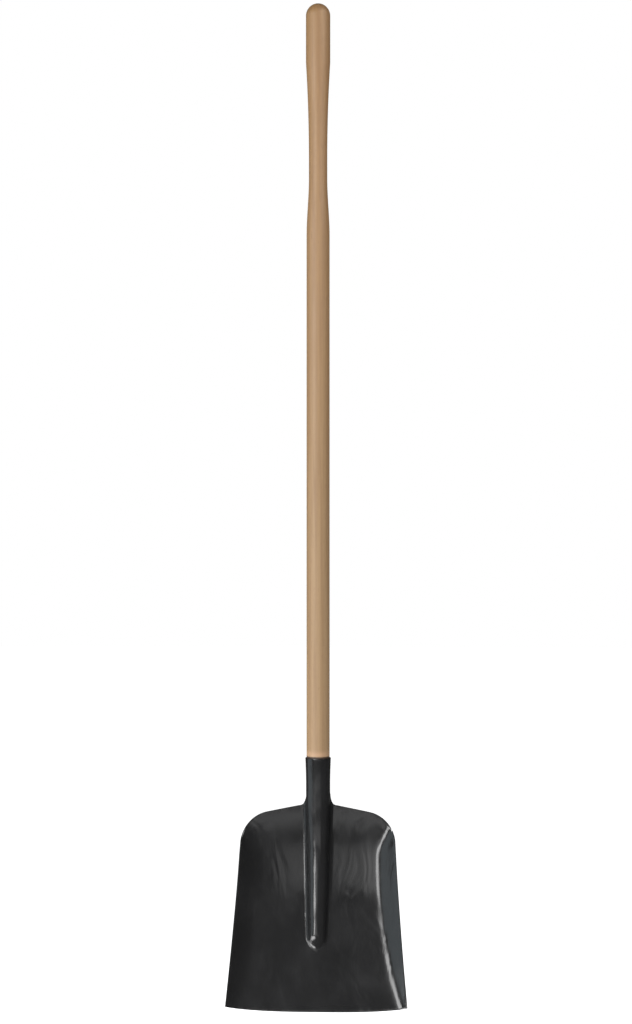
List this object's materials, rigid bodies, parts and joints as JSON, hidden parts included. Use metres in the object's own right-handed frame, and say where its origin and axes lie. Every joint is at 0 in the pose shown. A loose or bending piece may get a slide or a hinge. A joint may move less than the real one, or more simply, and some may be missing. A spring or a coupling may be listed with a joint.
{
  "type": "grain scoop shovel",
  "caption": "Long-handled scoop shovel: turned wooden handle with a knob grip in the rolled socket of a pressed steel pan with raised sides.",
  "frame": {"origin": "on the handle's axis at the narrowest point of the grip waist, 245 mm below the top of the knob", "axes": "+Z along the handle towards the knob, -Y out of the open face of the pan, +X to the right seen from the open face"},
  "size_m": [0.2782, 0.1052, 1.5585],
  "materials": {
    "handle_wood": "fine-turned beech, satin clear lacquer",
    "blade_paint": "gloss black stove paint over pressed steel",
    "screw_zinc": "bright zinc plate"
  },
  "bodies": {
    "root": {"handle": "handle_wood", "blade": "blade_paint", "socket_screw_left": "screw_zinc", "socket_screw_right": "screw_zinc"}
  },
  "joints": []
}
